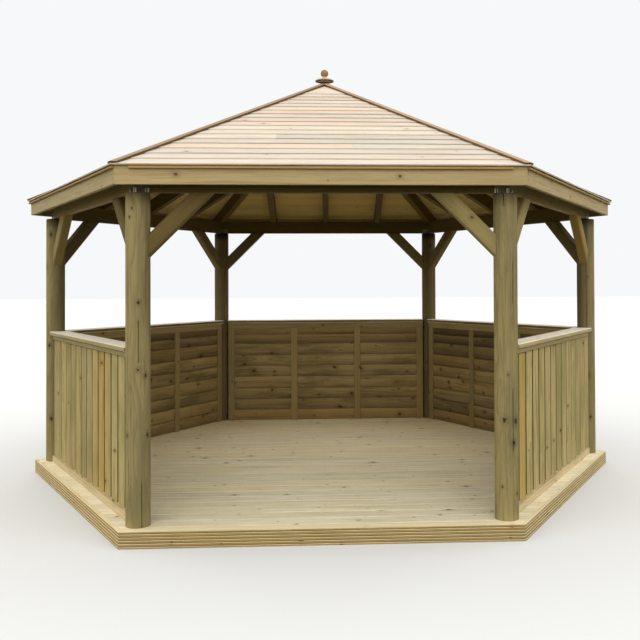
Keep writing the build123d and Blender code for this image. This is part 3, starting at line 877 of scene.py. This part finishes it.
# Lightness, warmth and knots of the outer boards on the two sides that show, from the front post back
BOARD_TONES = {
    1: [(0.5, 0.5, 0.5), (0.54, 1, 0.5), (0.7, 0, 0.5), (0.66, 0, 0.6), (0.6, 0.3, 0.3),
        (0.5, 0.2, 0.5), (0.46, 0.25, 0.5), (0.3, 0.3, 0.6), (0.52, 0.3, 0.5), (0.54, 0.2, 0.5),
        (0.5, 0.2, 0.5), (0.36, 0.3, 0.6), (0.42, 0.35, 0.5), (0.44, 0.3, 0.5), (0.45, 0.35, 0.5)],
    5: [(0.5, 0.5, 0.5), (0.74, 0.1, 0.3), (0.7, 0.1, 0.4), (0.54, 0.65, 0.5), (0.56, 0.9, 0.6),
        (0.56, 0.6, 0.5), (0.3, 0.15, 0.7), (0.26, 0.1, 0.6), (0.52, 0.5, 0.5), (0.3, 0.4, 0.5),
        (0.45, 0.5, 0.5), (0.5, 0.45, 0.4), (0.44, 0.4, 0.6), (0.42, 0.45, 0.5), (0.45, 0.5, 0.5)],
}

# How much paler or darker each inner board is, from the foot up: the handrail shades the top ones
LAP_SHADES = (-0.18, -0.05, 0.14, 0.24, 0.14, -0.05, -0.18, -0.38, -0.42)

# Darkest and palest inner board of each panel: the right-hand one stands in the deepest shade
INNER_LIGHTNESS = {1: (0.35, 0.65), 2: (0.05, 0.4), 3: (0.25, 0.65), 4: (0.12, 0.5), 5: (0.35, 0.65)}

for side in range(1, SIDES):
    side_name = SIDE_NAMES[side]
    rng = Random(600 + side)
    towards_front = 1 if side in (4, 5) else -1

    # Frame: sole, studs behind the battens, stiles, battens, top rail and the head lath
    bm = blank()

    def timber_bar(inner, outer, low, high, middle=None, material=0):
        upright = middle is not None
        length = high - low if upright else 2 * panel_half
        across = STILE_WIDTH if upright else high - low
        place = (middle or 0, -(inner + outer) / 2, panel_low + (low + high) / 2)
        turned_to = lie(side, place, UPRIGHT if upright else SIDEWAYS, OUTWARD)
        stick(bm, length, across, outer - inner, turned_to, 0.002, rng, material=material)

    timber_bar(INNER_BACK + SEAM, SOLE_FACE, 0.0, SOLE_HEIGHT, material=1)
    timber_bar(OUTER_BACK, HEAD_FACE, height - HEAD_HEIGHT, height - HEAD_GAP, material=2)
    timber_bar(INNER_BACK + SEAM, OUTER_BACK - SEAM, height - HEAD_HEIGHT, height)
    timber_bar(STILE_FACE, STILE_BACK, height - INNER_RAIL_HEIGHT, height)
    for middle in BATTEN_PLACES:
        timber_bar(STILE_FACE, STILE_BACK, 0.0, height - INNER_RAIL_HEIGHT - SEAM, middle)
        timber_bar(INNER_BACK + SEAM, OUTER_BACK - SEAM, SOLE_HEIGHT + SEAM,
                   height - HEAD_HEIGHT - SEAM, middle)
    finish_piece("panel_frame_" + side_name, bm, [rail_timber, sole_timber, head_timber],
                 ["panel_" + side_name])

    # Upright boards outside, cut off at the posts
    bm = blank()
    ends = [(side_way(side, SIDEWAYS * (end * (panel_half - END_GAP))), side_way(side, SIDEWAYS * end))
            for end in (-1, 1)]
    edge = panel_half - OUTER_PITCH * 0.05
    row = 0
    while edge > -panel_half + 0.01:
        own_pitch = OUTER_PITCH + rng.uniform(-PITCH_SPREAD, PITCH_SPREAD)
        if side in BOARD_TONES:
            tones = Vector(BOARD_TONES[side][row])
        else:
            tones = Vector((rng.uniform(0.35, 0.8), rng.random(), rng.random()))
        place = (towards_front * (edge - (own_pitch - OUTER_GAP) / 2), -(OUTER_BACK + OUTER_THICK / 2),
                 panel_low + (OUTER_FOOT + OUTER_HEAD) / 2)
        feathered(bm, OUTER_HEAD - OUTER_FOOT, own_pitch - OUTER_GAP, OUTER_THICK, OUTER_THIN,
                  lie(side, place, -towards_front * UPRIGHT, OUTWARD), rng, tones, ends, OUTER_CHAMFER)
        edge -= own_pitch
        row += 1
    # Painted shade: the board edges that face sideways towards the front take a darker finish, for the
    # line at each lap.
    face_finish(bm, 1, side_way(side, SIDEWAYS * towards_front), 0.95)
    finish_piece("outer_boards_" + side_name, bm, [outer_timber, outer_lap_shade_timber],
                 ["panel_" + side_name])

    # Level boards inside
    bm = blank()
    for low, high, shade in zip(INNER_LAPS, INNER_LAPS[1:], LAP_SHADES):
        low += rng.uniform(0, LAP_SPREAD)
        place = (0, -(INNER_BACK - INNER_THICK / 2), panel_low + (low + high - INNER_GAP) / 2)
        tones = Vector((rng.uniform(*INNER_LIGHTNESS[side]) + shade, rng.random() - shade, rng.random()))
        feathered(bm, 2 * (panel_half - END_GAP), high - INNER_GAP - low, INNER_THICK, INNER_THIN,
                  lie(side, place, SIDEWAYS, INWARD) @ half_about, rng, tones, fade=INNER_FADE)
    finish_piece("inner_boards_" + side_name, bm, [inner_timber], ["panel_" + side_name])


# Handrails
# A wide planed board with rounded edges on top of each half wall, from post to post.
hand_timber = timber(
    "handrail_timber", (246, 237, 215), (200, 184, 150), (224, 216, 190), (242, 223, 186), (116, 84, 50),
    ring=0.004, figure=0.45, knotty=0.3, spread=0.06, streak=0.35)
hand_edge_shade_timber = timber(
    "handrail_edge_shade_timber", (178, 160, 112), (134, 112, 70), (152, 138, 94), (182, 154, 102),
    (84, 56, 32), ring=0.004, figure=0.45, knotty=0.2, spread=0.06, streak=0.3)
hand_inner_shade_timber = timber(
    "handrail_inner_shade_timber", (112, 91, 48), (80, 61, 27), (94, 76, 38), (116, 88, 42), (58, 38, 18),
    ring=0.004, knotty=0.3, spread=0.1, streak=0.4)
hand_low, hand_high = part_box("handrails")
RAIL_INNER = 1.78465
RAIL_WIDTH = 0.145
RAIL_ARRIS = 0.006
FLAT = 0.37
bm = blank()
rng = Random(70)
for side in range(1, SIDES):
    place = (0, -(RAIL_INNER + RAIL_WIDTH / 2), (hand_low.z + hand_high.z) / 2)
    stick(bm, 2 * panel_half, RAIL_WIDTH, hand_high.z - hand_low.z, lie(side, place, SIDEWAYS, UPRIGHT),
          RAIL_ARRIS, rng, segments=4)
# Painted light and shade: the tops take the palest finish, the outer edges a darker one and the inner
# edges the darkest.
bm.normal_update()
for face in bm.faces:
    if abs(face.normal.z) < FLAT:
        face.material_index = 1 if face.normal.dot(face.calc_center_median()) > 0 else 2
finish_piece("handrail_boards", bm, [hand_timber, hand_edge_shade_timber, hand_inner_shade_timber],
             ["handrails"], smooth=35)


# Rafters
# Hip rafters bevelled to both slopes, common rafters between them, and the block that they meet at.
rafter_timber = timber(
    "rafter_timber", (104, 87, 40), (74, 57, 24), (82, 70, 32), (112, 87, 38), (62, 42, 20), ring=0.005,
    spread=0.12, streak=0.3)
cad_piece("hip_rafter_set", "hip_rafters", 0.002, 81, rafter_timber, shortest=0.1)
cad_piece("common_rafter_set", "common_rafters", 0.002, 82, rafter_timber, shortest=0.1)
cad_piece("ridge_block", "king_block", 0.002, 83, rafter_timber)


# Roof boards
# Feather-edged boards laid in courses up each slope, every nose lapping the course below.
# Some courses are two lengths, butted close over a rafter; a plain piece closes each slope's top.
ROOF_PITCH = radians(25.0)
ROOF_APOTHEM = 2.05515
FIRST_EXPOSURE = 0.107
COURSE_EXPOSURE = 0.112
LAST_LAP = 1.899
COURSE_NOSE = 0.009
COURSE_HEEL = 0.003
COURSE_LAP = 0.02
NOSE_GAP = 0.0006
BUTT_GAP = 0.0003
HIP_GAP = 0.0003
BOARD_DEPTH = 0.02
BOARD_LENGTH = 2.6
BOARD_SEAT = 0.0004
RAFTER_PLACES = (-0.54, 0.0, 0.54)

roof_timber = timber(
    "roof_timber", (217, 207, 192), (180, 155, 126), (197, 186, 163), (221, 196, 172), (140, 98, 64),
    ring=0.0042, figure=0.55, cell=(2.2, 9.0, 0.4), knotty=0.4, spread=0.08, warmed=0.7, streak=0.4)
nose_timber = timber(
    "roof_nose_timber", (209, 193, 171), (166, 141, 114), (187, 168, 142), (211, 185, 157), (110, 78, 50),
    ring=0.0042, figure=0.45, knotty=0.0, spread=0.32, streak=0.3)
under_timber = timber(
    "roof_underside_timber", (224, 201, 138), (182, 153, 92), (194, 173, 112), (226, 194, 126),
    (104, 72, 36), ring=0.0042, figure=0.45, cell=(2.2, 9.0, 0.4), knot_size=0.011, spread=0.08,
    streak=0.3)
eaves_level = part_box("roof_front")[0].z
slope_length = ROOF_APOTHEM / cos(ROOF_PITCH)
lap_lines = [0.0, FIRST_EXPOSURE]
while lap_lines[-1] + COURSE_EXPOSURE <= LAST_LAP + 0.001:
    lap_lines.append(lap_lines[-1] + COURSE_EXPOSURE)
lap_lines.append(slope_length)


def roof_point(distance, lift):
    """A point on the middle of the front slope: distance up from the eaves, lift off the rafters."""
    out = ROOF_APOTHEM - distance * cos(ROOF_PITCH) + lift * sin(ROOF_PITCH)
    return Vector((0, -out, eaves_level + distance * sin(ROOF_PITCH) + lift * cos(ROOF_PITCH)))


# Butt joints seen on the front slope: course, place along it
FRONT_BUTTS = {2: -0.46, 3: 0.18, 5: -0.30, 7: 0.52}

for side in range(SIDES):
    rng = Random(900 + side)
    bm = blank()
    hips = []
    for hand in (-1, 1):
        normal = Matrix.Rotation(hand * HALF_TURN, 3, "Z") @ (SIDEWAYS * hand)
        hips.append((side_way(side, -normal * HIP_GAP), side_way(side, normal)))
    for course, (start, end) in enumerate(zip(lap_lines, lap_lines[1:])):
        fall = (COURSE_NOSE - COURSE_HEEL) * min(1.0, (end - start) / COURSE_EXPOSURE)
        reach = end + (COURSE_LAP if course < len(lap_lines) - 2 else 0.0)
        width = reach - start
        nose = roof_point(start, COURSE_NOSE)
        slope = (roof_point(end, COURSE_NOSE - fall) - nose).normalized()
        face = SIDEWAYS.cross(slope)
        place = lie(side, nose + slope * (width / 2) - face * (BOARD_DEPTH / 2), SIDEWAYS, face)
        under_nose = roof_point(start, COURSE_HEEL + NOSE_GAP if course else 0.0)
        under = SIDEWAYS.cross(roof_point(reach, BOARD_SEAT) - under_nose).normalized()
        cuts = hips + [(side_way(side, under_nose), side_way(side, -under))]
        butts = [FRONT_BUTTS[course]] if side == 0 and course in FRONT_BUTTS else []
        if side and 0 < course < 8 and rng.random() < 0.5:
            butts = [rng.choice(RAFTER_PLACES)]
        for before, after in zip([None] + butts, butts + [None]):
            ends = [(side_way(side, SIDEWAYS * (butt - hand * BUTT_GAP / 2)),
                     side_way(side, SIDEWAYS * hand))
                    for butt, hand in ((before, -1), (after, 1)) if butt is not None]
            stick(bm, BOARD_LENGTH, width, BOARD_DEPTH, place, BOARD_ARRIS, rng, cuts=cuts + ends)
    downhill = roof_point(0.0, 0.0) - roof_point(1.0, 0.0)
    upward = roof_point(0.0, 1.0) - roof_point(0.0, 0.0)
    # Partly painted shade: the noses facing down the slope take a darker finish, for their sawn edges and
    # for the shade under each lap.
    face_finish(bm, 1, side_way(side, downhill), 0.7)
    eaves_line = -roof_point(FIRST_EXPOSURE / 2, 0.0).y
    for face in bm.faces:
        if face.calc_center_median().dot(ways[side]) > eaves_line:
            face.material_index = 0
    face_finish(bm, 2, side_way(side, -upward), 0.7)
    finish_piece("roof_boards_" + SIDE_NAMES[side], bm, [roof_timber, nose_timber, under_timber],
                 ["roof_" + SIDE_NAMES[side]])


# Fascia and eaves strips
# A deep board round the rafter ends, mitred at the corners, with a slim strip along its top.
fascia_timber = timber(
    "fascia_timber", (180, 160, 118), (138, 114, 70), (154, 140, 102), (188, 158, 108), (92, 60, 34),
    figure=0.55, knotty=0.6, cell=(4.0, 9.0, 0.4), knot_size=0.01, spread=0.07, streak=0.55)
strip_timber = timber(
    "strip_timber", (166, 138, 86), (126, 98, 54), (140, 118, 72), (174, 138, 82), (84, 56, 32),
    ring=0.004, spread=0.08, streak=0.3)
cad_piece("fascia_boards", "fascia", 0.002, 91, fascia_timber, "fascia_timber")
STRIP_DROP = 0.005
STRIP_DEEPER = 0.009
STRIP_TOP = 0.004
strips = dressed("eaves_strips", 0.0015, 92, shortest=0.012)
for vert in strips.verts:
    vert.co.z -= STRIP_DROP if vert.co.z > eaves_level + STRIP_TOP else STRIP_DEEPER
finish_piece("eaves_strip_set", strips, [strip_timber], ["eaves_strips"])


# Hip cappings
# Two narrow boards over each hip, their edges bevelled to meet, redder than the roof boards.
cap_timber = timber(
    "hip_cap_timber", (184, 160, 128), (142, 114, 82), (160, 138, 108), (188, 154, 116), (90, 58, 34),
    ring=0.0038, figure=0.6, knotty=0.4, spread=0.3, streak=0.5)
cap_edge_shade_timber = timber(
    "hip_cap_edge_timber", (104, 80, 54), (76, 54, 34), (92, 68, 44), (110, 80, 52), (80, 52, 30),
    ring=0.0038, figure=0.6, knotty=0.0, spread=0.3, streak=0.5)
caps = dressed("hip_caps", 0.0015, 93, shortest=0.03)
# Painted shade: the cap faces that do not look up take the darker edge finish.
for face in caps.faces:
    if face.normal.z < 0.5:
        face.material_index = 1
finish_piece("hip_capping", caps, [cap_timber, cap_edge_shade_timber], ["hip_caps"])


# Finial
# A turned ball on a short neck and a thin moulded plate, at the peak. The plate sits on a smaller foot.
FINIAL_STEPS = 40
BALL_BANDS = 20
NECK_RADIUS = 0.017
PLATE_FOOT = 0.046
PLATE_LIFT = 0.009
PLATE_EDGE = ((0.002, 0), (0, 0.002), (0, 0.006), (0.003, 0.009), (0.01, 0.011), (0.014, 0.015),
              (0.024, 0.018))
NECK_FOOT = ((0.01, 0.023), (0.002, 0.027), (0, 0.031))
finial_timber = timber(
    "finial_timber", (160, 130, 98), (112, 84, 58), (134, 108, 82), (162, 124, 82), ring=0.003,
    figure=0.6, knotty=0.0, spread=0.05)
plate_timber = timber(
    "finial_plate_timber", (206, 184, 152), (160, 132, 98), (178, 152, 118), (206, 174, 134), ring=0.004,
    figure=0.6, knotty=0.0, spread=0.05)
plate_edge_shade_timber = timber(
    "finial_plate_edge_timber", (124, 98, 68), (92, 68, 44), (104, 82, 56), (126, 96, 62), ring=0.004,
    knotty=0.0, spread=0.05, figure=0.55)


def turned_piece(name, outline, materials, node):
    """A piece turned on the lathe: its half outline, foot to head, spun about the upright axis."""
    bm = bmesh.new()
    verts = [bm.verts.new((radius, 0, level)) for radius, level in outline]
    for first, second in zip(verts, verts[1:]):
        bm.edges.new((first, second))
    ops.spin(bm, geom=bm.verts[:] + bm.edges[:], cent=(0, 0, 0), axis=(0, 0, 1), dvec=(0, 0, 0),
             angle=tau, steps=FINIAL_STEPS, use_merge=True, use_duplicate=False)
    ops.remove_doubles(bm, verts=bm.verts, dist=WELD)
    ops.recalc_face_normals(bm, faces=bm.faces)
    grain, board = new_layers(bm)
    for vert in bm.verts:
        vert[grain] = Vector((vert.co.z, vert.co.x + 0.01, vert.co.y + 0.02))
        vert[board] = Vector((0.5, 0.5, 0.2))
    # Painted shade: with a second finish, the faces that look down take it, darker.
    if len(materials) > 1:
        face_finish(bm, 1, -UPRIGHT, 0.5)
    finish_piece(name, bm, materials, [node], smooth=35)


plate_low, plate_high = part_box("finial_base")
rim_radius = plate_high.x
plate_outline = [(0.0, 0.0), (PLATE_FOOT, 0.0), (PLATE_FOOT, PLATE_LIFT)]
plate_outline += [(rim_radius - inset, PLATE_LIFT + rise) for inset, rise in PLATE_EDGE]
plate_outline += [(NECK_RADIUS + flare, PLATE_LIFT + rise) for flare, rise in NECK_FOOT]
plate_outline += [(radius, plate_high.z - plate_low.z) for radius in (NECK_RADIUS, 0.0)]
turned_piece("finial_plate", [(radius, plate_low.z + level) for radius, level in plate_outline],
             [plate_timber, plate_edge_shade_timber], "finial_base")

ball_low, ball_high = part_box("finial_ball")
ball_radius = ball_high.x
ball_middle = ball_high.z - ball_radius
bottom = acos((ball_low.z - ball_middle) / ball_radius)
ball_outline = [(0.0, ball_low.z)]
for band in range(BALL_BANDS + 1):
    angle = bottom * (1 - band / BALL_BANDS)
    ball_outline.append((sin(angle) * ball_radius, ball_middle + cos(angle) * ball_radius))
turned_piece("finial_turned_ball", ball_outline, [finial_timber], "finial_ball")
